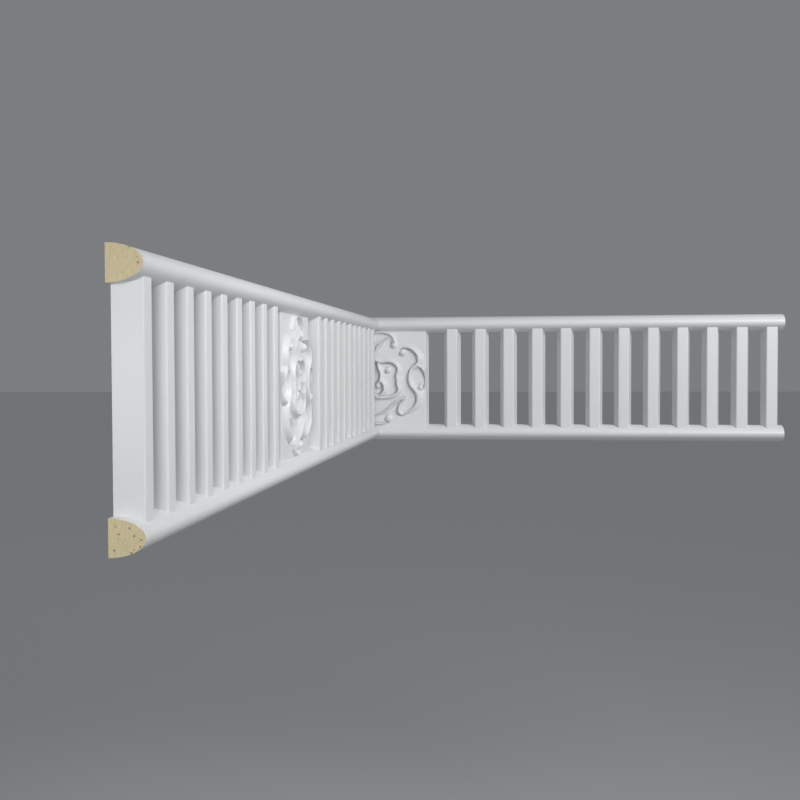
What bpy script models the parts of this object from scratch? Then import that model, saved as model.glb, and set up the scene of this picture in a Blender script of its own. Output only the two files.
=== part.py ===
"""Pierced moulding: two cast lengths that meet in a mitre at an inside corner.

Metres, +Z up. The left length's back lies on the plane x = 0 and the right length's back on the
plane y = LEFT_PLAQUE_TO_CORNER. The origin is the middle of the back of the left length's plaque.
Each length is first made flat on: it runs along X, its back is the plane y = 0, its front looks
along -Y, and its mitred end is at x = 0.
"""

import math

import bmesh
import bpy
from mathutils import Vector

# Overall sizes of the two lengths
MOULDING_HEIGHT = 0.150
LEFT_LENGTH = 0.835
RIGHT_LENGTH = 0.496
MITRE_GAP = 0.0003

# The rails, of half-oval section
RAIL_HEIGHT = 0.019
RAIL_DEPTH = 0.0187
RAIL_FACETS = 18

# The slats between the rails, wider at the wall than at the front
SLAT_PITCH = 0.0341
SLAT_FOOT = 0.0201
SLAT_FACE = 0.0123
SLAT_DEPTH = 0.0148
SLAT_CHAMFER = 0.0009

# The carved plaques between the slats
PLAQUE_FOOT = 0.112
PLAQUE_FACE = 0.106
PLAQUE_DEPTH = 0.0106
PLAQUE_CHAMFER = 0.0009
PLAQUE_SLAT_GAP = 0.0192
LEFT_PLAQUE_TO_CORNER = 0.460
RIGHT_PLAQUE_TO_CORNER = 0.0218

# The carving on a plaque. Its places, widths and heights are shares of its own height.
CARVING_WIDTH_TO_HEIGHT = 0.94
RELIEF = 0.038
WALL_WIDTH = 0.020
FULL_RELIEF_WIDTH = 0.045
SINK = 0.006
STEPS_PER_SPAN = 2

# Each scroll is a line of (across, up, slope width) points along the middle of its steep inner
# wall. The band's long slope falls away to the left of the line, seen along it.
OUTER_SCROLL = [
    (0.228, 0.246, 0.020), (0.212, 0.262, 0.034), (0.207, 0.285, 0.040), (0.220, 0.312, 0.038),
    (0.255, 0.325, 0.036), (0.300, 0.314, 0.046), (0.340, 0.285, 0.060), (0.370, 0.245, 0.072),
    (0.383, 0.205, 0.080), (0.394, 0.160, 0.070), (0.424, 0.105, 0.046), (0.452, 0.055, 0.028),
    (0.462, 0.000, 0.022), (0.458, -0.040, 0.024), (0.442, -0.078, 0.026), (0.420, -0.102, 0.020),
]
INNER_SCROLL = [
    (0.385, 0.195, 0.030), (0.365, 0.173, 0.055), (0.335, 0.145, 0.070), (0.303, 0.105, 0.080),
    (0.280, 0.050, 0.085), (0.276, -0.010, 0.085), (0.292, -0.070, 0.087), (0.328, -0.120, 0.093),
    (0.360, -0.160, 0.098), (0.371, -0.205, 0.093), (0.362, -0.255, 0.078), (0.335, -0.302, 0.060),
    (0.290, -0.342, 0.042), (0.240, -0.368, 0.036), (0.205, -0.364, 0.038), (0.190, -0.335, 0.040),
    (0.193, -0.290, 0.038), (0.215, -0.245, 0.028), (0.245, -0.214, 0.012),
]
RING_SIDE = [
    (-0.020, 0.158, 0.055), (0.040, 0.171, 0.054), (0.100, 0.166, 0.051), (0.143, 0.138, 0.052),
    (0.158, 0.092, 0.068), (0.150, 0.040, 0.090), (0.148, -0.015, 0.098), (0.152, -0.070, 0.086),
    (0.163, -0.115, 0.060), (0.146, -0.152, 0.048), (0.100, -0.183, 0.046), (0.045, -0.193, 0.046),
    (-0.020, -0.196, 0.046),
]
CREST_SCROLL = [
    (-0.150, 0.420, 0.018), (-0.085, 0.462, 0.024), (-0.020, 0.474, 0.022), (0.030, 0.472, 0.024),
    (0.075, 0.458, 0.032), (0.106, 0.432, 0.040), (0.116, 0.400, 0.040), (0.112, 0.370, 0.030),
]
CREST_LEAF = [
    (0.060, 0.438, 0.014), (0.030, 0.430, 0.026), (0.005, 0.412, 0.036), (-0.030, 0.385, 0.042),
    (-0.080, 0.345, 0.042), (-0.135, 0.300, 0.036), (-0.195, 0.250, 0.018),
]
FOOT_LEAF = [
    (0.235, -0.212, 0.012), (0.205, -0.215, 0.026), (0.175, -0.222, 0.040), (0.140, -0.240, 0.045),
    (0.100, -0.275, 0.046), (0.060, -0.312, 0.046), (0.020, -0.342, 0.044), (-0.020, -0.365, 0.040),
    (-0.080, -0.392, 0.032), (-0.145, -0.415, 0.016),
]
FOOT_SCROLL = [
    (0.096, -0.425, 0.018), (0.092, -0.452, 0.024), (0.066, -0.468, 0.022), (0.010, -0.472, 0.020),
    (-0.060, -0.466, 0.020), (-0.130, -0.440, 0.014),
]
MIDDLE_SCROLL = [
    (-0.058, 0.175, 0.040), (-0.058, 0.130, 0.056), (-0.044, 0.085, 0.058), (-0.032, 0.045, 0.056),
    (-0.034, 0.000, 0.058), (-0.018, -0.042, 0.058), (0.000, -0.078, 0.062), (0.004, -0.105, 0.064),
    (-0.002, -0.134, 0.056), (-0.022, -0.158, 0.036), (-0.055, -0.172, 0.024), (-0.088, -0.162, 0.024),
    (-0.102, -0.132, 0.024), (-0.092, -0.100, 0.018),
]

# Balls of (across, up, radius) that close the curled ends
OUTER_BALLS = [(0.247, 0.271, 0.028), (0.408, -0.098, 0.029)]
MIDDLE_BALLS = [(0.124, 0.362, 0.032), (0.064, -0.428, 0.036), (0.064, 0.089, 0.033),
                (-0.047, -0.082, 0.027)]

COATING = (0.83, 0.84, 0.84, 1.0)
COATING_ROUGHNESS = 0.5


def clear_scene():
    for obj in list(bpy.data.objects):
        bpy.data.objects.remove(obj, do_unlink=True)


def make_collection(name):
    collection = bpy.data.collections.new(name)
    bpy.context.scene.collection.children.link(collection)
    return collection


def coating_material(name):
    """The factory primer coat on the foam."""
    material = bpy.data.materials.new(name)
    material.use_nodes = True
    shader = material.node_tree.nodes["Principled BSDF"]
    shader.inputs["Base Color"].default_value = COATING
    shader.inputs["Roughness"].default_value = COATING_ROUGHNESS
    shader.inputs["Metallic"].default_value = 0.0
    return material


def clear_height():
    """Height between the rails, where the slats and plaques show."""
    return MOULDING_HEIGHT - 2 * RAIL_HEIGHT


def rail_axis_height():
    return (MOULDING_HEIGHT - RAIL_HEIGHT) / 2


def carving_height():
    """The carving fills the plaque's face, whichever of its sides is the tighter."""
    return min(clear_height(), PLAQUE_FACE / CARVING_WIDTH_TO_HEIGHT)


def mesh_from_curve(curve_object, collection):
    """Turn a curve into a closed mesh object in the same place, and remove the curve."""
    bpy.context.view_layer.update()
    depsgraph = bpy.context.evaluated_depsgraph_get()
    mesh = bpy.data.meshes.new_from_object(curve_object.evaluated_get(depsgraph))
    shape = bmesh.new()
    shape.from_mesh(mesh)
    bmesh.ops.remove_doubles(shape, verts=shape.verts, dist=0.00001)
    bmesh.ops.recalc_face_normals(shape, faces=shape.faces)
    shape.to_mesh(mesh)
    shape.free()
    solid = bpy.data.objects.new(curve_object.name + "_form", mesh)
    solid.matrix_world = curve_object.matrix_world
    collection.objects.link(solid)
    bpy.data.objects.remove(curve_object, do_unlink=True)
    return solid


def add_spline(curve, points, closed):
    """One straight-sided spline through (x, y, radius) points."""
    spline = curve.splines.new("POLY")
    spline.points.add(len(points) - 1)
    for target, (x, y, radius) in zip(spline.points, points):
        target.co = (x, y, 0.0, 1.0)
        target.radius = radius
    spline.use_cyclic_u = closed


def prism(name, outline, length, collection):
    """A flat outline in the XY plane, drawn out along Z by length, half to each side."""
    curve = bpy.data.curves.new(name, "CURVE")
    curve.dimensions = "2D"
    curve.fill_mode = "BOTH"
    curve.extrude = length / 2
    add_spline(curve, [(x, y, 1.0) for x, y in outline], closed=True)
    curve_object = bpy.data.objects.new(name, curve)
    collection.objects.link(curve_object)
    return curve_object


def rail(name, start, end, height, collection):
    """A rail from start to end along the wall, with a half-oval section on a flat back."""
    section = []
    for step in range(RAIL_FACETS + 1):
        angle = math.pi * step / RAIL_FACETS
        section.append((-RAIL_DEPTH * math.sin(angle), RAIL_HEIGHT / 2 * math.cos(angle)))
    section[-1] = (0.0, -RAIL_HEIGHT / 2)  # exactly on the wall's plane
    curve_object = prism(name, section, end - start, collection)
    curve_object.location = ((start + end) / 2, 0.0, height)
    curve_object.rotation_euler = (math.pi / 2, 0.0, math.pi / 2)
    return mesh_from_curve(curve_object, collection)


def tapered_bar(name, centre, foot, face, depth, chamfer, collection):
    """An upright bar between the rails, foot wide at the wall and face wide at the front."""
    slope = (foot - face) / 2 / depth
    outline = [
        (-foot / 2, 0.0),
        (-face / 2 - slope * chamfer, -depth + chamfer),
        (-face / 2 + chamfer, -depth),
        (face / 2 - chamfer, -depth),
        (face / 2 + slope * chamfer, -depth + chamfer),
        (foot / 2, 0.0),
    ]
    curve_object = prism(name, outline, 2 * rail_axis_height(), collection)
    curve_object.location = (centre, 0.0, 0.0)
    return mesh_from_curve(curve_object, collection)


def smooth_line(points, steps):
    """A smooth line through the points, with steps pieces to each span (Catmull-Rom)."""
    line = []
    ends = [points[0]] + list(points) + [points[-1]]
    for before, start, end, after in zip(ends, ends[1:], ends[2:], ends[3:]):
        for step in range(steps):
            t = step / steps
            line.append(tuple(
                0.5 * (2 * b + (c - a) * t + (2 * a - 5 * b + 4 * c - d) * t ** 2
                       + (3 * b - a - 3 * c + d) * t ** 3)
                for a, b, c, d in zip(before, start, end, after)))
    line.append(points[-1])
    return line


def band_section(slope_width):
    """Section across a band, as (offset from the wall's middle, height) shares, foot to foot."""
    wall = min(WALL_WIDTH, slope_width)
    crest = RELIEF * math.sqrt(min(1.0, slope_width / FULL_RELIEF_WIDTH))
    return [
        (-wall / 2, -SINK),
        (wall / 4, 0.92 * crest),
        (wall * 0.75, crest),
        (max(wall, 0.55 * slope_width), 0.66 * crest),
        (max(1.25 * wall, slope_width), -SINK),
    ]


def carved_band(name, points, slope_side, centre, collection):
    """A raised band lofted along its points, its foot sunk just under the plaque's face."""
    size = carving_height()
    shape = bmesh.new()
    rings = []
    for number, (across, up, slope_width) in enumerate(points):
        before = points[max(number - 1, 0)]
        after = points[min(number + 1, len(points) - 1)]
        along = Vector((after[0] - before[0], after[1] - before[1])).normalized()
        outward = slope_side * Vector((-along.y, along.x))
        rings.append([
            shape.verts.new((centre + size * (across + outward.x * offset),
                             -PLAQUE_DEPTH - size * height,
                             size * (up + outward.y * offset)))
            for offset, height in band_section(slope_width)])
    for ring, following in zip(rings, rings[1:]):
        for corner in range(len(ring)):
            beside = (corner + 1) % len(ring)
            shape.faces.new((ring[corner], ring[beside], following[beside], following[corner]))
    shape.faces.new(rings[0])
    shape.faces.new(rings[-1])
    bmesh.ops.recalc_face_normals(shape, faces=shape.faces)
    mesh = bpy.data.meshes.new(name)
    shape.to_mesh(mesh)
    shape.free()
    collection.objects.link(bpy.data.objects.new(name, mesh))


def carved_ball(name, ball, centre, collection):
    across, up, radius = (share * carving_height() for share in ball)
    mesh = bpy.data.meshes.new(name)
    shape = bmesh.new()
    bmesh.ops.create_uvsphere(shape, u_segments=10, v_segments=6, radius=radius)
    shape.to_mesh(mesh)
    shape.free()
    solid = bpy.data.objects.new(name, mesh)
    solid.location = (centre + across, SINK * carving_height() - PLAQUE_DEPTH, up)
    solid.rotation_euler = (math.pi / 2, 0.0, 0.0)
    collection.objects.link(solid)


def mirrored(points):
    return [(-across, up, width) for across, up, width in points]


def carving(name, centre, collection):
    """The cartouche: outer scrolls in mirrored pairs, round a ring with a scroll inside."""
    pairs = {"outer": OUTER_SCROLL, "inner": INNER_SCROLL, "ring": RING_SIDE}
    singles = {"crest_scroll": CREST_SCROLL, "crest_leaf": CREST_LEAF, "foot_leaf": FOOT_LEAF,
               "foot_scroll": FOOT_SCROLL, "middle": MIDDLE_SCROLL}
    for part, points in pairs.items():
        line = smooth_line(points, STEPS_PER_SPAN)
        carved_band(f"{name}_{part}_right", line, 1, centre, collection)
        carved_band(f"{name}_{part}_left", mirrored(line), -1, centre, collection)
    for part, points in singles.items():
        line = smooth_line(points, STEPS_PER_SPAN)
        carved_band(f"{name}_{part}", line, 1, centre, collection)
    for number, ball in enumerate(OUTER_BALLS + mirrored(OUTER_BALLS) + MIDDLE_BALLS):
        carved_ball(f"{name}_ball_{number}", ball, centre, collection)


def slat_centres(plaque_centre, low, high):
    """Centres of the slats beside a plaque that stand whole inside low to high."""
    first = (PLAQUE_FOOT + SLAT_FOOT) / 2 + PLAQUE_SLAT_GAP
    reach = high - low + abs(plaque_centre)
    centres = []
    for side in (-1, 1):
        for number in range(int(reach / SLAT_PITCH) + 1):
            centre = plaque_centre + side * (first + number * SLAT_PITCH)
            if low <= centre - SLAT_FOOT / 2 and centre + SLAT_FOOT / 2 <= high:
                centres.append(centre)
    return centres


def mitre_cutter(name, side, reach, collection):
    """A block over the far side of the mitre plane. side is 1 for a length that runs to +X."""
    mesh = bpy.data.meshes.new(name)
    shape = bmesh.new()
    bmesh.ops.create_cube(shape, size=reach)
    shape.to_mesh(mesh)
    shape.free()
    cutter = bpy.data.objects.new(name, mesh)
    across = Vector((-side, -1.0, 0.0)).normalized()
    cutter.location = across * (reach / 2 - MITRE_GAP / 2)
    cutter.rotation_euler = (0.0, 0.0, math.pi / 4)
    collection.objects.link(cutter)
    return cutter


def moulding_length(name, side, length, plaque_to_corner, material, model, cutters):
    """One cast length: rails, slats, plaque and carving united, then cut to the mitre."""
    forms = bpy.data.collections.new(name + "_forms")
    cutters.children.link(forms)
    overrun = 2 * RAIL_DEPTH
    low, high = sorted((-side * overrun, side * length))
    plaque_centre = side * plaque_to_corner
    height = rail_axis_height()

    body = rail(name + "_top_rail", low, high, height, model)
    body.name = name
    rail(name + "_bottom_rail", low, high, -height, forms)
    for number, centre in enumerate(slat_centres(plaque_centre, low, high)):
        tapered_bar(f"{name}_slat_{number}", centre, SLAT_FOOT, SLAT_FACE, SLAT_DEPTH,
                    SLAT_CHAMFER, forms)
    tapered_bar(name + "_plaque", plaque_centre, PLAQUE_FOOT, PLAQUE_FACE, PLAQUE_DEPTH,
                PLAQUE_CHAMFER, forms)
    carving(name, plaque_centre, forms)

    united = body.modifiers.new("one casting", "BOOLEAN")
    united.operation = "UNION"
    united.operand_type = "COLLECTION"
    united.collection = forms
    united.solver = "EXACT"
    united.use_self = True
    mitred = body.modifiers.new("mitre", "BOOLEAN")
    mitred.operation = "DIFFERENCE"
    mitred.solver = "EXACT"
    mitred.object = mitre_cutter(name + "_mitre", side, MOULDING_HEIGHT * 2, cutters)
    body.data.materials.append(material)
    return body


def apply_shape(body):
    """Keep the united and mitred mesh, so that the length can be turned and placed."""
    bpy.context.view_layer.update()
    depsgraph = bpy.context.evaluated_depsgraph_get()
    evaluated = body.evaluated_get(depsgraph)
    mesh = bpy.data.meshes.new_from_object(evaluated)
    mesh.transform(body.matrix_world)
    body.modifiers.clear()
    body.data = mesh
    body.location = (0.0, 0.0, 0.0)
    body.rotation_euler = (0.0, 0.0, 0.0)


def main():
    clear_scene()
    model = make_collection("pierced_moulding")
    cutters = make_collection("cutters")
    material = coating_material("white_coating")
    corner = (0.0, LEFT_PLAQUE_TO_CORNER, 0.0)

    left = moulding_length("left_length", -1, LEFT_LENGTH, LEFT_PLAQUE_TO_CORNER, material,
                           model, cutters)
    right = moulding_length("right_length", 1, RIGHT_LENGTH, RIGHT_PLAQUE_TO_CORNER, material,
                            model, cutters)
    for body in (left, right):
        apply_shape(body)
        body.location = corner
    left.rotation_euler = (0.0, 0.0, math.pi / 2)

    for cutter in cutters.all_objects:
        cutter.hide_render = True
        cutter.display_type = "WIRE"


main()
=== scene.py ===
"""Pierced moulding: two cast lengths round an inside corner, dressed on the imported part.

Metres, in the part's own frame. The left length's back lies on the plane x = 0, and the right
length's back on the plane y = CORNER. Each length is first made flat on: it runs along X from its
mitred end at x = 0, its back is the plane y = 0, and its front looks along -Y.
"""

import math

import bmesh
import bpy
import numpy as np
from mathutils import Matrix, Vector


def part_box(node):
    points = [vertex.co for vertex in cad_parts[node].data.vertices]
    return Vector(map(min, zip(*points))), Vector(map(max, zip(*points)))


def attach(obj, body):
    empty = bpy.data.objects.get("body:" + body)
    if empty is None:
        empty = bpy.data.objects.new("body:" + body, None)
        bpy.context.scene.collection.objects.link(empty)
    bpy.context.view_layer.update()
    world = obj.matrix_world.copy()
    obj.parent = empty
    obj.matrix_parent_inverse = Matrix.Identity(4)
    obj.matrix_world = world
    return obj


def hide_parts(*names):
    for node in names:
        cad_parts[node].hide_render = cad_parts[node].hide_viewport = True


bl_info = {
    "name": "Pierced moulding",
    "version": (1, 0, 0),
    "blender": (4, 5, 0),
    "location": "View3D > Sidebar > Moulding",
    "description": "Makes a pierced wall moulding with carved plaques, mitred round a corner",
    "category": "Add Mesh",
}

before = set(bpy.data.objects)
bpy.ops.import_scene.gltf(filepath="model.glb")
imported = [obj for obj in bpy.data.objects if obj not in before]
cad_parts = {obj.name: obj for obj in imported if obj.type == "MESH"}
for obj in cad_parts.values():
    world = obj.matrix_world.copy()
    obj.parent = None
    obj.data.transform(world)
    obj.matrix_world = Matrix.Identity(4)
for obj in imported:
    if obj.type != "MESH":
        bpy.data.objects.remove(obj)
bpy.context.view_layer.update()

LEFT_LOW, LEFT_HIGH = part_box("left_length")
_, RIGHT_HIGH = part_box("right_length")

# Where the corner's two walls meet, along the left wall from the left plaque's middle
CORNER = 0.460

# The gap at the mitre, and the size of the block that cuts it
MITRE_GAP = 0.0003
MITRE_BLOCK = 1.0

# How finely the shapes are divided, and how near two points count as one
RAIL_SEGMENTS = 72
EDGE_SEGMENTS = 5
PLAQUE_COLUMNS = 236
PLAQUE_ROWS = 268
WELD_DISTANCE = 1e-7
SAME_PLACE = 1e-6

# The plaque's carved face reaches this far up and down, which is inside the rails
PLAQUE_HALF_HEIGHT = 0.0605

# A face within this distance of the end that looks this much along the length is the cut end
CUT_TOLERANCE = 1e-4
CUT_FACING = 0.99
SHARP_ANGLE = 38.0

# The carving. Its places, widths and heights are shares of the clear height between the rails.
STEEP_WALL = 0.014
FULL_RELIEF_WIDTH = 0.045
GROOVE_DEPTH = 0.018
CREST_GROOVE = 0.3
STEPS_PER_SPAN = 12
MERGE_POWER = 8
POINTS_AT_ONCE = 20000

# The power that bends a scroll's long slope, the scroll's fade past its ends as a share of the
# slope's width, and its groove's middle and half width as shares of the steep wall's width
FALL_POWER = 1.15
END_FADE = 0.6
GROOVE_MIDDLE = -0.3
GROOVE_HALF_WIDTH = 0.8

# A dome's greatest height as a share of its radius, the two powers that round it, its groove's
# half width as a share of its radius, and how far the groove goes round to the outer side
DOME_HEIGHT = 0.95
DOME_ROUND, DOME_FULLNESS = 2.4, 1.2
DOME_GROOVE_WIDTH = 0.4
DOME_GROOVE_TURN = 0.2

# Each scroll is a line of (across, up, slope width) points along the middle of its steep wall.
# Its long slope falls away to the left of the line, seen along it.
MAIN_SCROLL = [
    (0.226, 0.330, 0.012), (0.250, 0.327, 0.030), (0.280, 0.323, 0.042), (0.312, 0.311, 0.052),
    (0.345, 0.284, 0.064), (0.371, 0.248, 0.076), (0.383, 0.213, 0.082), (0.378, 0.184, 0.082),
    (0.354, 0.157, 0.074), (0.325, 0.134, 0.064), (0.302, 0.105, 0.060), (0.286, 0.062, 0.058),
    (0.279, 0.012, 0.058), (0.283, -0.036, 0.060), (0.301, -0.084, 0.066), (0.330, -0.124, 0.086),
    (0.358, -0.158, 0.098), (0.371, -0.200, 0.098), (0.366, -0.250, 0.084), (0.345, -0.292, 0.068),
    (0.312, -0.326, 0.052), (0.280, -0.352, 0.038), (0.250, -0.370, 0.022), (0.226, -0.384, 0.008),
]
LENS_ARC = [
    (0.366, 0.130, 0.016), (0.391, 0.119, 0.034), (0.415, 0.108, 0.042), (0.436, 0.088, 0.042),
    (0.450, 0.056, 0.036), (0.4585, 0.022, 0.032), (0.463, -0.012, 0.028), (0.462, -0.045, 0.028),
    (0.454, -0.076, 0.030), (0.440, -0.102, 0.026), (0.420, -0.118, 0.014),
]
LOWER_LEAF = [
    (0.236, -0.214, 0.030), (0.212, -0.238, 0.046), (0.188, -0.266, 0.058), (0.172, -0.298, 0.066),
    (0.164, -0.334, 0.064), (0.168, -0.368, 0.054), (0.184, -0.392, 0.044), (0.206, -0.402, 0.032),
    (0.232, -0.402, 0.014),
]
RING_SIDE = [
    (0.000, 0.160, 0.050), (0.030, 0.167, 0.052), (0.062, 0.171, 0.052), (0.100, 0.166, 0.052),
    (0.135, 0.146, 0.052), (0.156, 0.115, 0.058), (0.160, 0.085, 0.070), (0.150, 0.055, 0.082),
    (0.139, 0.030, 0.094), (0.147, 0.000, 0.092), (0.150, -0.030, 0.090), (0.148, -0.060, 0.088),
    (0.158, -0.090, 0.076), (0.165, -0.115, 0.066), (0.155, -0.143, 0.058), (0.130, -0.165, 0.052),
    (0.095, -0.183, 0.048), (0.045, -0.193, 0.044), (0.000, -0.196, 0.042),
]
CREST_SCROLL = [
    (-0.165, 0.400, 0.018), (-0.130, 0.440, 0.026), (-0.080, 0.474, 0.026), (-0.020, 0.488, 0.024),
    (0.030, 0.484, 0.026), (0.072, 0.470, 0.032), (0.100, 0.448, 0.040), (0.116, 0.420, 0.046),
    (0.120, 0.390, 0.040),
]
CREST_LEAF = [
    (0.055, 0.440, 0.010), (0.030, 0.430, 0.022), (0.005, 0.412, 0.034), (-0.030, 0.385, 0.046),
    (-0.080, 0.345, 0.050), (-0.135, 0.300, 0.040), (-0.195, 0.250, 0.018),
]
CREST_TONGUE = [
    (-0.150, 0.330, 0.016), (-0.140, 0.370, 0.034), (-0.128, 0.410, 0.050), (-0.118, 0.450, 0.050),
    (-0.100, 0.480, 0.030),
]
FOOT_LEAF = [
    (0.248, -0.204, 0.010), (0.222, -0.208, 0.028), (0.180, -0.220, 0.042), (0.140, -0.240, 0.047),
    (0.100, -0.275, 0.046), (0.060, -0.312, 0.046), (0.020, -0.342, 0.044), (-0.020, -0.365, 0.036),
    (-0.080, -0.390, 0.026), (-0.145, -0.412, 0.014),
]
FOOT_SCROLL = [
    (0.078, -0.466, 0.020), (0.040, -0.480, 0.022), (-0.010, -0.486, 0.022),
    (-0.060, -0.482, 0.022), (-0.110, -0.466, 0.018), (-0.150, -0.442, 0.010),
]
MIDDLE_SCROLL = [
    (-0.052, 0.205, 0.020), (-0.059, 0.180, 0.044), (-0.061, 0.145, 0.056), (-0.056, 0.112, 0.058),
    (-0.044, 0.084, 0.056), (-0.032, 0.052, 0.054), (-0.033, 0.018, 0.056), (-0.042, -0.016, 0.060),
    (-0.058, -0.042, 0.056), (-0.084, -0.062, 0.044), (-0.108, -0.088, 0.030),
    (-0.118, -0.120, 0.016),
]
EYE_TURN = [
    (-0.030, -0.040, 0.040), (-0.012, -0.054, 0.062), (0.001, -0.074, 0.070),
    (0.006, -0.102, 0.070), (-0.001, -0.132, 0.062), (-0.022, -0.158, 0.046),
    (-0.052, -0.174, 0.032), (-0.084, -0.170, 0.026), (-0.104, -0.146, 0.022),
    (-0.108, -0.118, 0.014),
]

# Domes of (across, up, radius) that close the curled ends
PAIRED_DOMES = [(0.224, 0.280, 0.040), (0.418, -0.100, 0.038)]
SINGLE_DOMES = [(0.128, 0.364, 0.038), (0.068, -0.434, 0.042), (0.063, 0.090, 0.036),
                (-0.046, -0.084, 0.032)]

# How fine the coating's and the foam's patterns are, for each metre
CLOUD_SCALE, GRAIN_SCALE, PEEL_SCALE = 14.0, 900.0, 260.0
STREAK_SCALE, CELL_SCALE, PORE_SCALE = 900.0, 1100.0, 330.0

# How deep their bumps are, how rough the foam and the floor are, and how far the floor reaches
COATING_BUMP, FOAM_BUMP = 0.00006, 0.0004
FOAM_ROUGHNESS, FLOOR_ROUGHNESS = 0.92, 0.9
FLOOR_REACH = 30.0

# The lights: a key from the right and above, and a narrow one by the camera on the cut end
KEY_PLACE = (0.70, -0.20, 0.41)
KEY_TARGET = (0.15, 0.25, 0.0)
KEY_SIZE = 0.35
KEY_SPREAD = 180.0
FRONT_PLACE = (0.12, -1.00, 0.05)
FRONT_TARGET = (0.01, -0.30, 0.0)
FRONT_SIZE = 0.20
FRONT_SPREAD = 40.0

# The camera at the photograph's place
CAMERA_PLACE = (0.19863, -0.87173, 0.01659)
CAMERA_TURN = (6.7056, -1.8466, -0.1884)
CAMERA_LENS = 49.01
SENSOR_WIDTH = 36.0


def length_setting(name, description, default):
    return bpy.props.FloatProperty(name=name, description=description, default=default, min=0.0,
                                   subtype="DISTANCE", unit="LENGTH", precision=4)


def colour_setting(name, description, default):
    return bpy.props.FloatVectorProperty(name=name, description=description, default=default,
                                         min=0.0, max=1.0, size=3, subtype="COLOR")


class MouldingSizes(bpy.types.PropertyGroup):
    """Sizes of the moulding."""

    height: length_setting("Height", "Overall height of the moulding", LEFT_HIGH.z - LEFT_LOW.z)
    left_length: length_setting("Left length", "Along the left wall, to the corner",
                                CORNER - LEFT_LOW.y)
    right_length: length_setting("Right length", "Along the right wall, from the corner",
                                 RIGHT_HIGH.x)
    rail_height: length_setting("Rail height", "Height of each rail", 0.019)
    rail_depth: length_setting("Rail depth", "How far a rail stands out from the wall", 0.0187)
    slat_pitch: length_setting("Slat pitch", "From one slat to the next", 0.0341)
    slat_foot: length_setting("Slat foot", "Width of a slat at the wall", 0.0201)
    slat_face: length_setting("Slat face", "Width of a slat at its front", 0.0123)
    slat_depth: length_setting("Slat depth", "How far a slat stands out from the wall", 0.0148)
    plaque_foot: length_setting("Plaque foot", "Width of a plaque at the wall", 0.112)
    plaque_face: length_setting("Plaque face", "Width of a plaque at its front", 0.106)
    plaque_depth: length_setting("Plaque depth", "How far the plaque's ground stands out", 0.0106)
    plaque_slat_gap: length_setting("Gap by a plaque", "From a plaque to the next slat", 0.0192)
    right_plaque: length_setting("Right plaque", "From the corner to the right plaque's middle",
                                 0.0218)
    edge_round: length_setting("Edge round", "Radius of the slats' and plaques' front edges",
                               0.0012)
    relief: bpy.props.FloatProperty(name="Relief", min=0.0, max=0.1, default=0.040, precision=3,
                                    description="Height of the carving, as a share of the clear "
                                                "height between the rails")


class MouldingFinish(bpy.types.PropertyGroup):
    """Colours of the moulding."""

    coating: colour_setting("Coating", "Colour of the primer coat", (0.83, 0.84, 0.84))
    coating_roughness: bpy.props.FloatProperty(name="Coating roughness", default=0.42, min=0.0,
                                               max=1.0, description="Roughness of the coat")
    foam: colour_setting("Foam", "Colour of the cut foam", (0.90, 0.77, 0.48))


class StudioLook(bpy.types.PropertyGroup):
    """Floor and light round the moulding."""

    floor: colour_setting("Floor", "Colour of the floor", (0.80, 0.81, 0.82))
    floor_drop: length_setting("Floor drop", "From the moulding's middle to the floor", 0.75)
    backdrop: colour_setting("Backdrop", "Colour of the studio behind the moulding",
                             (0.20, 0.206, 0.214))
    key_power: bpy.props.FloatProperty(name="Key light", default=5.2, min=0.0, unit="POWER",
                                       description="Power of the light on the right")
    front_power: bpy.props.FloatProperty(name="Front light", default=0.12, min=0.0, unit="POWER",
                                         description="Power of the narrow light by the camera")


class Channel:
    """A shader socket that takes part in arithmetic, so that a pattern reads as a formula."""

    def __init__(self, tree, socket):
        self.tree = tree
        self.socket = socket

    def math(self, operation, *values):
        return self.tree.node("ShaderNodeMath", {"operation": operation},
                              dict(enumerate((self,) + values)))

    def __add__(self, other):
        return self.math("ADD", other)

    __radd__ = __add__

    def __mul__(self, other):
        return self.math("MULTIPLY", other)

    def __sub__(self, other):
        return self.math("SUBTRACT", other)

    def __rsub__(self, other):
        return self.math("MULTIPLY", -1.0) + other

    def ramp(self, low, high):
        """0 below low, 1 above high, smooth between them."""
        return self.tree.node("ShaderNodeMapRange", {"interpolation_type": "SMOOTHSTEP"},
                              {"Value": self, "From Min": low, "From Max": high})


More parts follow.
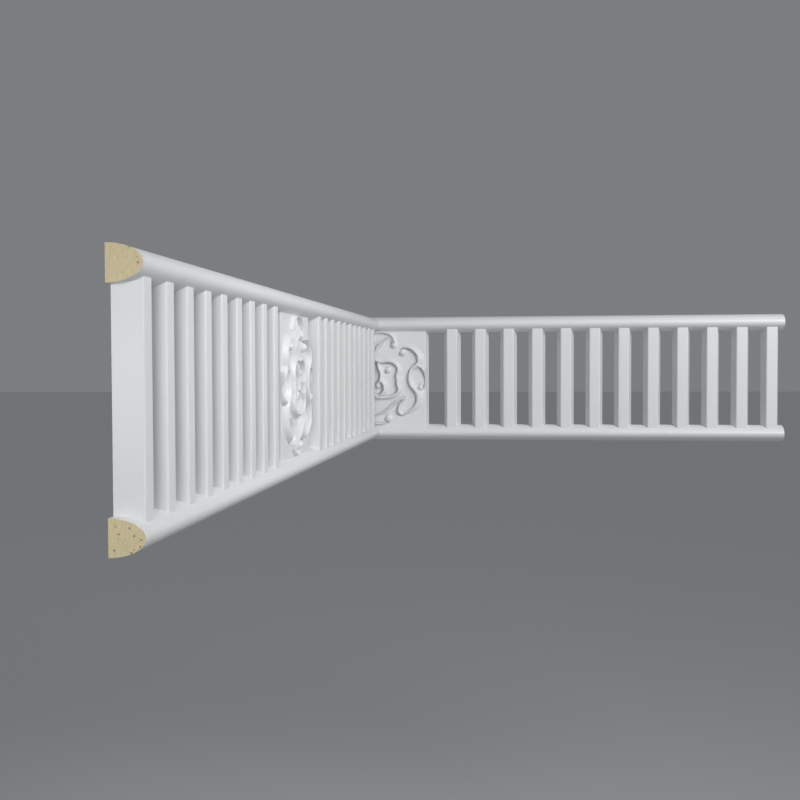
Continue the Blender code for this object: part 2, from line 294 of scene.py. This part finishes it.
class Finish:
    """A material's or a world's node tree, with one method that adds any node."""

    def __init__(self, owner, shader="Principled BSDF"):
        owner.use_nodes = True
        self.nodes = owner.node_tree.nodes
        self.links = owner.node_tree.links
        self.shader = self.nodes[shader]

    def connect(self, value, socket):
        if isinstance(value, Channel):
            self.links.new(value.socket, socket)
        else:
            socket.default_value = value

    def node(self, kind, settings=None, inputs=None, output=0):
        """Add a node: its settings first, then the values or links of its sockets."""
        node = self.nodes.new(kind)
        for setting, value in (settings or {}).items():
            setattr(node, setting, value)
        for socket, value in (inputs or {}).items():
            self.connect(value, node.inputs[socket])
        return Channel(self, node.outputs[output])

    def place(self):
        """The place on the piece, in metres."""
        return self.node("ShaderNodeTexCoord", output="Object")

    def scaled(self, vector, scale, turn):
        return self.node("ShaderNodeMapping", {}, {"Vector": vector, "Scale": scale,
                                                   "Rotation": turn})

    def noise(self, vector, scale, detail):
        return self.node("ShaderNodeTexNoise", {}, {"Vector": vector, "Scale": scale,
                                                    "Detail": detail})

    def blend(self, factor, low, high):
        """A colour between low and high. The mix node's sockets share their names between kinds
        of data, so its colour ones are reached by number."""
        mix = self.nodes.new("ShaderNodeMix")
        mix.data_type = "RGBA"
        for socket, value in ((0, factor), (6, low), (7, high)):
            self.connect(value, mix.inputs[socket])
        return Channel(self, mix.outputs[2])

    def bump(self, height, distance, strength):
        return self.node("ShaderNodeBump", {}, {"Height": height, "Distance": distance,
                                                "Strength": strength})

    def feed(self, **inputs):
        """Set or link the shader's own sockets, an underscore standing for a space."""
        for socket, value in inputs.items():
            self.connect(value, self.shader.inputs[socket.replace("_", " ")])


def opaque(colour, share=1.0):
    """A setting's colour for a socket, darker or lighter by a share."""
    return tuple(channel * share for channel in colour) + (1.0,)


def coating_finish(name, look):
    """Primer coat on foam: satin white with a fine sprayed grain and a faint unevenness."""
    material = bpy.data.materials.new(name)
    finish = Finish(material)
    place = finish.place()
    cloud = finish.noise(place, CLOUD_SCALE, 3.0)
    grain = finish.noise(place, GRAIN_SCALE, 2.0)
    peel = finish.noise(place, PEEL_SCALE, 2.0)
    colour = finish.blend(cloud.ramp(0.35, 0.7), opaque(look.coating, 0.985),
                          opaque(look.coating))
    finish.feed(
        Base_Color=finish.blend(grain.ramp(0.55, 0.8) * 0.25, colour,
                                opaque(look.coating, 0.95)),
        Roughness=look.coating_roughness + (cloud - 0.5) * 0.10 + (grain - 0.5) * 0.08,
        Normal=finish.bump(grain * 0.6 + peel, COATING_BUMP, 0.5))
    return material


def foam_finish(name, look):
    """Cut rigid foam: beige, with fine cells, torn streaks and a few open pores, sunk by the bump
    and painted darker inside as painted shade.
    """
    material = bpy.data.materials.new(name)
    finish = Finish(material)
    place = finish.place()
    drawn_out = finish.scaled(place, (1.0, 1.0, 0.35), (0.35, 0.35, 0.0))
    streaks = finish.noise(drawn_out, STREAK_SCALE, 3.0)
    cells = finish.node("ShaderNodeTexVoronoi", {"feature": "SMOOTH_F1"},
                        {"Vector": place, "Scale": CELL_SCALE, "Smoothness": 0.3})
    pores = finish.node("ShaderNodeTexVoronoi", {}, {"Vector": place, "Scale": PORE_SCALE})
    # Open pores: the bump sinks them, and the base colour is darkened there as painted shade in the
    # holes
    pore_hollow_and_painted_shade = 1.0 - pores.ramp(0.06, 0.20)
    colour = finish.blend(streaks.ramp(0.3, 0.7), opaque(look.foam, 0.94),
                          opaque(look.foam, 1.04))
    finish.feed(
        Base_Color=finish.blend(pore_hollow_and_painted_shade * 0.7, colour, opaque(look.foam, 0.55)),
        Roughness=FOAM_ROUGHNESS,
        Normal=finish.bump(streaks * 1.2 + cells - pore_hollow_and_painted_shade * 2.5, FOAM_BUMP, 0.9))
    return material


def studio_world(name, look):
    """A plain backdrop that sheds an even light from all round."""
    world = bpy.data.worlds.new(name)
    Finish(world, "Background").feed(Color=opaque(look.backdrop))
    return world


def add_rail(shape, sizes, start, end, height):
    """A half-oval rail from start to end, its flat back on y = 0."""
    section = bmesh.ops.create_circle(shape, cap_ends=True, segments=RAIL_SEGMENTS, radius=1.0)
    turned = Matrix.Rotation(math.pi / 2, 3, "Y")
    bmesh.ops.scale(shape, verts=section["verts"],
                    vec=(sizes.rail_height / 2, sizes.rail_depth, 1.0))
    bmesh.ops.rotate(shape, verts=section["verts"], cent=(0, 0, 0), matrix=turned)
    bmesh.ops.translate(shape, verts=section["verts"], vec=(start, 0.0, height))
    geometry = list({f for v in section["verts"] for f in v.link_faces})
    halved = bmesh.ops.bisect_plane(
        shape, geom=section["verts"] + list({e for v in section["verts"] for e in v.link_edges})
        + geometry, plane_co=(0, 0, 0), plane_no=(0, 1, 0), clear_outer=True)
    face = [part for part in halved["geom"] if isinstance(part, bmesh.types.BMFace)]
    drawn = bmesh.ops.extrude_face_region(shape, geom=face, use_keep_orig=True)
    moved = [part for part in drawn["geom"] if isinstance(part, bmesh.types.BMVert)]
    bmesh.ops.translate(shape, verts=moved, vec=(end - start, 0.0, 0.0))


def add_slat(shape, sizes, centre):
    """A tapered slat between the rails' middles, with its two front edges rounded."""
    height = sizes.height - sizes.rail_height
    bar = bmesh.ops.create_cube(shape, size=1.0)["verts"]
    bmesh.ops.scale(shape, verts=bar, vec=(sizes.slat_foot, sizes.slat_depth, height))
    bmesh.ops.translate(shape, verts=bar, vec=(0.0, -sizes.slat_depth / 2, 0.0))
    front = [v for v in bar if v.co.y < -sizes.slat_depth / 2]
    bmesh.ops.scale(shape, verts=front, vec=(sizes.slat_face / sizes.slat_foot, 1.0, 1.0))
    edges = [e for e in {e for v in front for e in v.link_edges}
             if all(v in front for v in e.verts)
             and abs(e.verts[0].co.x - e.verts[1].co.x) < SAME_PLACE]
    bmesh.ops.translate(shape, verts=bar, vec=(centre, 0.0, 0.0))
    bmesh.ops.bevel(shape, geom=edges, affect="EDGES", offset=sizes.edge_round,
                    offset_type="OFFSET", segments=EDGE_SEGMENTS, profile=0.5, material=-1)


def smooth_line(points):
    """A smooth line through the points (Catmull-Rom)."""
    rows = np.array(points, float)
    rows = np.vstack([rows[:1], rows, rows[-1:]])
    share = np.arange(STEPS_PER_SPAN)[:, None] / STEPS_PER_SPAN
    spans = [
        0.5 * (2 * b + (c - a) * share + (2 * a - 5 * b + 4 * c - d) * share ** 2
               + (3 * b - a - 3 * c + d) * share ** 3)
        for a, b, c, d in zip(rows, rows[1:], rows[2:], rows[3:])]
    return np.vstack(spans + [rows[-1:]])


def mirrored(points):
    return [(-across, up, width) for across, up, width in points]


def band_height(across, up, relief, points, slope_side, cut=1.0):
    """Height of one scroll, a steep wall along its line and a long slope on one side of it, and
    the share of the full depth that the groove along the wall's foot has."""
    line = smooth_line(points)
    place, width = line[:, :2], line[:, 2]
    along = np.gradient(place, axis=0)
    along /= np.linalg.norm(along, axis=1)[:, None]
    outward = slope_side * np.stack([-along[:, 1], along[:, 0]], 1)
    reach = width.max() + STEEP_WALL
    low, high = place.min(0) - reach, place.max(0) + reach
    near = (across > low[0]) & (across < high[0]) & (up > low[1]) & (up < high[1])
    spots = np.stack([across[near], up[near]], 1)
    nearest = np.concatenate([
        ((part[:, None] - place) ** 2).sum(-1).argmin(1)
        for part in np.array_split(spots, len(spots) // POINTS_AT_ONCE + 1)])
    away = spots - place[nearest]
    offset = (away * outward[nearest]).sum(1)
    past_end = np.abs((away * along[nearest]).sum(1))
    slope = width[nearest]
    wall = np.minimum(STEEP_WALL, slope / 2)
    full = np.sqrt(np.minimum(1.0, slope / FULL_RELIEF_WIDTH))
    rise = np.clip(offset / wall, 0, 1)
    rise = rise * rise * (3 - 2 * rise)
    fall = np.clip((offset - wall) / (slope - wall), 0, 1)
    fall = 0.5 + 0.5 * np.cos(np.pi * fall ** FALL_POWER)
    end = np.clip(1 - (past_end / (END_FADE * slope)) ** 2, 0, 1)
    dip = np.clip(1 - np.abs(offset / wall - GROOVE_MIDDLE) / GROOVE_HALF_WIDTH, 0, 1)
    height, groove = np.zeros_like(across), np.zeros_like(across)
    height[near] = relief * full * rise * fall * end
    groove[near] = cut * full * end * dip * dip * (3 - 2 * dip)
    return height, groove


def dome_height(across, up, relief, dome):
    """Height of a curled end's dome, and a short groove on its side towards the middle."""
    middle_across, middle_up, radius = dome
    away = np.hypot(across - middle_across, up - middle_up) / radius
    inwards = (middle_across - across) * np.sign(middle_across) / radius
    rounded = (1 - np.minimum(1.0, away) ** DOME_ROUND) ** DOME_FULLNESS
    groove = np.clip(1 - np.abs(away - 1) / DOME_GROOVE_WIDTH, 0, 1)
    return (min(relief, DOME_HEIGHT * radius) * rounded,
            np.clip(inwards + DOME_GROOVE_TURN, 0, 1) * groove)


def carving_height(across, up, relief):
    """Height of the whole carving: paired scrolls round a ring, with a scroll inside it."""
    ring = RING_SIDE + mirrored(RING_SIDE)[-2::-1]
    bands = [(ring, 1), (CREST_TONGUE, -1), (CREST_SCROLL, 1, CREST_GROOVE)]
    bands += [(points, 1) for points in (CREST_LEAF, FOOT_LEAF, FOOT_SCROLL, MIDDLE_SCROLL,
                                         EYE_TURN)]
    for points in (MAIN_SCROLL, LENS_ARC, LOWER_LEAF):
        bands += [(points, 1), (mirrored(points), -1)]
    forms = [band_height(across, up, relief, *band) for band in bands]
    forms += [dome_height(across, up, relief, dome)
              for dome in PAIRED_DOMES + mirrored(PAIRED_DOMES) + SINGLE_DOMES]
    heights, grooves = zip(*forms)
    merged = sum(height ** MERGE_POWER for height in heights) ** (1 / MERGE_POWER)
    return merged - GROOVE_DEPTH * np.max(grooves, axis=0)


def add_plaque(shape, sizes, centre):
    """A plaque with its carving raised from its front, its side edges rounded."""
    carved = sizes.height - 2 * sizes.rail_height
    half, radius = sizes.plaque_face / 2, sizes.edge_round
    grid = bmesh.ops.create_grid(shape, x_segments=PLAQUE_COLUMNS, y_segments=PLAQUE_ROWS,
                                 size=1.0)["verts"]
    flat = np.array([v.co for v in grid])
    column = np.linspace(-1.0, 1.0, PLAQUE_COLUMNS + 1)
    turn = np.arange(1, EDGE_SEGMENTS + 1) / EDGE_SEGMENTS
    slope = math.atan2(sizes.plaque_depth, (sizes.plaque_foot - sizes.plaque_face) / 2)
    arc_in = radius * math.tan(slope / 2)
    arc_x = half - arc_in + radius * np.sin(slope * turn)
    arc_drop = radius - radius * np.cos(slope * turn)
    flat_x = np.linspace(0, half - arc_in, PLAQUE_COLUMNS // 2 - EDGE_SEGMENTS + 1)
    side_x = np.concatenate([flat_x, arc_x])
    side_drop = np.concatenate([np.zeros_like(flat_x), arc_drop])
    across = np.interp(flat[:, 0], column, np.concatenate([-side_x[:0:-1], side_x]))
    drop = np.interp(flat[:, 0], column, np.concatenate([side_drop[:0:-1], side_drop]))
    up = flat[:, 1] * PLAQUE_HALF_HEIGHT
    raised = carved * carving_height(across / carved, up / carved, sizes.relief)
    raised *= np.clip((half - np.abs(across)) / arc_in, 0, 1) ** 0.5
    depth = sizes.plaque_depth - drop + raised
    for vert, x, y, z in zip(grid, across, depth, up):
        vert.co = (centre + x, -y, z)
    rim = list({e for v in grid for e in v.link_edges if e.is_boundary})
    skirt = bmesh.ops.extrude_edge_only(shape, edges=rim)["geom"]
    back = [part for part in skirt if isinstance(part, bmesh.types.BMVert)]
    widest = side_x[-1]
    for vert in back:
        vert.co.x = centre + (vert.co.x - centre) * sizes.plaque_foot / 2 / widest
        vert.co.y = 0.0
    loop = [part for part in skirt if isinstance(part, bmesh.types.BMEdge) and part.is_boundary]
    bmesh.ops.contextual_create(shape, geom=loop)


def mesh_object(name, shape, collection):
    """A closed mesh object from a bmesh, its faces turned outwards."""
    bmesh.ops.remove_doubles(shape, verts=shape.verts, dist=WELD_DISTANCE)
    bmesh.ops.recalc_face_normals(shape, faces=shape.faces)
    mesh = bpy.data.meshes.new(name)
    shape.to_mesh(mesh)
    shape.free()
    made = bpy.data.objects.new(name, mesh)
    collection.objects.link(made)
    return made


def slat_centres(sizes, plaque, low, high):
    """Centres of the slats on both sides of a plaque that stand whole between low and high."""
    first = (sizes.plaque_foot + sizes.slat_foot) / 2 + sizes.plaque_slat_gap
    count = int((high - low + abs(plaque)) / sizes.slat_pitch) + 1
    centres = [plaque + side * (first + number * sizes.slat_pitch)
               for side in (-1, 1) for number in range(count)]
    half = sizes.slat_foot / 2
    return [centre for centre in centres if low <= centre - half and centre + half <= high]


def combine(body, operation, other):
    """Unite the body with the other form, or cut the other form out of it."""
    change = body.modifiers.new(operation.lower(), "BOOLEAN")
    change.operation = operation
    change.solver = "EXACT"
    change.object = other


def moulding_mesh(context, name, side, length, plaque):
    """One cast length in its own frame: its parts united, then cut to the mitre."""
    sizes = context.scene.moulding_sizes
    collection = context.scene.collection
    overrun = 2 * sizes.rail_depth
    low, high = sorted((-side * overrun, side * length))

    rails, slats, plate, block = (bmesh.new() for _ in range(4))
    for height in (-1, 1):
        add_rail(rails, sizes, low, high, height * (sizes.height - sizes.rail_height) / 2)
    for centre in slat_centres(sizes, side * plaque, low, high):
        add_slat(slats, sizes, centre)
    add_plaque(plate, sizes, side * plaque)
    cutter = bmesh.ops.create_cube(block, size=MITRE_BLOCK)["verts"]
    bmesh.ops.translate(block, verts=cutter, vec=(MITRE_BLOCK / 2 - MITRE_GAP / 2, 0.0, 0.0))
    bmesh.ops.rotate(block, verts=cutter, cent=(0, 0, 0),
                     matrix=Matrix.Rotation(math.radians(-135 if side > 0 else -45), 3, "Z"))

    body, *others = (mesh_object(name, form, collection) for form in (rails, slats, plate, block))
    for operation, other in zip(("UNION", "UNION", "DIFFERENCE"), others):
        combine(body, operation, other)
    context.view_layer.update()
    evaluated = body.evaluated_get(context.evaluated_depsgraph_get())
    mesh = bpy.data.meshes.new_from_object(evaluated)
    for spent in [body] + others:
        bpy.data.objects.remove(spent, do_unlink=True)
    if not mesh.polygons:
        raise RuntimeError(f"{name} came out empty")
    return mesh


def mark_cuts(mesh, side, length):
    """Give the square cut end the foam, the second material, and shade smooth between edges."""
    for face in mesh.polygons:
        square_end = (abs(face.center.x - side * length) < CUT_TOLERANCE
                      and abs(face.normal.x) > CUT_FACING)
        face.material_index = 1 if square_end else 0
    mesh.shade_smooth()
    mesh.set_sharp_from_angle(angle=math.radians(SHARP_ANGLE))


def dress_length(context, name, side, length, plaque, place):
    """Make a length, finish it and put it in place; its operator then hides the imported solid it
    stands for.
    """
    look = context.scene.moulding_finish
    mesh = moulding_mesh(context, name, side, length, plaque)
    mesh.materials.clear()
    mesh.materials.append(coating_finish(name + "_coating", look))
    mesh.materials.append(foam_finish(name + "_foam", look))
    mark_cuts(mesh, side, length)
    mesh.transform(place)
    mesh.name = name
    piece = bpy.data.objects.new(name, mesh)
    context.scene.collection.objects.link(piece)
    shading = piece.modifiers.new("even shading", "WEIGHTED_NORMAL")
    shading.keep_sharp = True
    return piece


class MOULDING_OT_left_length(bpy.types.Operator):
    """Make the length on the left wall, with its whole plaque and its square cut end"""

    bl_idname = "moulding.left_length"
    bl_label = "Left length"

    def execute(self, context):
        sizes = context.scene.moulding_sizes
        place = Matrix.Translation((0.0, CORNER, 0.0)) @ Matrix.Rotation(math.pi / 2, 4, "Z")
        piece = dress_length(context, "left_moulding", -1, sizes.left_length, CORNER, place)
        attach(piece, "root")
        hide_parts("left_length")
        return {"FINISHED"}


class MOULDING_OT_right_length(bpy.types.Operator):
    """Make the length on the right wall, mitred at the corner through its plaque"""

    bl_idname = "moulding.right_length"
    bl_label = "Right length"

    def execute(self, context):
        sizes = context.scene.moulding_sizes
        place = Matrix.Translation((0.0, CORNER, 0.0))
        piece = dress_length(context, "right_moulding", 1, sizes.right_length,
                             sizes.right_plaque, place)
        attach(piece, "root")
        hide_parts("right_length")
        return {"FINISHED"}


def add_light(context, name, place, target, size, spread, power):
    """A square soft light that faces its target."""
    light = bpy.data.lights.new(name, "AREA")
    light.size = size
    light.spread = math.radians(spread)
    light.energy = power
    lamp = bpy.data.objects.new(name, light)
    lamp.visible_camera = False
    lamp.location = place
    lamp.rotation_euler = (Vector(target) - Vector(place)).to_track_quat("-Z", "Y").to_euler()
    context.scene.collection.objects.link(lamp)


class MOULDING_OT_stage(bpy.types.Operator):
    """Make the floor, the soft light and the camera"""

    bl_idname = "moulding.stage"
    bl_label = "Stage"

    def execute(self, context):
        look = context.scene.studio_look
        shape = bmesh.new()
        bmesh.ops.create_grid(shape, x_segments=2, y_segments=2, size=FLOOR_REACH)
        bmesh.ops.translate(shape, verts=shape.verts, vec=(0.0, 0.0, -look.floor_drop))
        floor = mesh_object("floor", shape, context.scene.collection)
        paint = bpy.data.materials.new("floor_paint")
        Finish(paint).feed(Base_Color=opaque(look.floor), Roughness=FLOOR_ROUGHNESS)
        floor.data.materials.append(paint)

        context.scene.view_settings.view_transform = "Standard"
        context.scene.world = studio_world("studio", look)
        add_light(context, "key", KEY_PLACE, KEY_TARGET, KEY_SIZE, KEY_SPREAD, look.key_power)
        add_light(context, "front", FRONT_PLACE, FRONT_TARGET, FRONT_SIZE, FRONT_SPREAD,
                  look.front_power)

        camera = bpy.data.cameras.new("camera")
        camera.lens = CAMERA_LENS
        camera.sensor_width = SENSOR_WIDTH
        holder = bpy.data.objects.new("camera", camera)
        yaw, pitch, roll = (math.radians(angle) for angle in CAMERA_TURN)
        holder.matrix_world = (Matrix.Translation(CAMERA_PLACE) @ Matrix.Rotation(yaw, 4, "Z")
                               @ Matrix.Rotation(math.pi / 2 + pitch, 4, "X")
                               @ Matrix.Rotation(roll, 4, "Z"))
        context.scene.collection.objects.link(holder)
        context.scene.camera = holder
        return {"FINISHED"}


class MOULDING_PT_panel(bpy.types.Panel):
    """The moulding's settings and its steps"""

    bl_idname = "MOULDING_PT_panel"
    bl_label = "Pierced moulding"
    bl_space_type = "VIEW_3D"
    bl_region_type = "UI"
    bl_category = "Moulding"

    def draw(self, context):
        for group in (context.scene.moulding_sizes, context.scene.moulding_finish,
                      context.scene.studio_look):
            box = self.layout.box()
            for setting in group.__annotations__:
                box.prop(group, setting)
        for step in STEPS:
            self.layout.operator(step.bl_idname)


STEPS = (MOULDING_OT_left_length, MOULDING_OT_right_length, MOULDING_OT_stage)
GROUPS = {"moulding_sizes": MouldingSizes, "moulding_finish": MouldingFinish,
          "studio_look": StudioLook}


def register():
    for made in (*GROUPS.values(), *STEPS, MOULDING_PT_panel):
        bpy.utils.register_class(made)
    for name, group in GROUPS.items():
        setattr(bpy.types.Scene, name, bpy.props.PointerProperty(type=group))


def unregister():
    for name in GROUPS:
        delattr(bpy.types.Scene, name)
    for made in (MOULDING_PT_panel, *reversed(STEPS), *GROUPS.values()):
        bpy.utils.unregister_class(made)


def main():
    register()
    bpy.ops.moulding.left_length()
    bpy.ops.moulding.right_length()
    bpy.ops.moulding.stage()


if __name__ == "__main__":
    main()
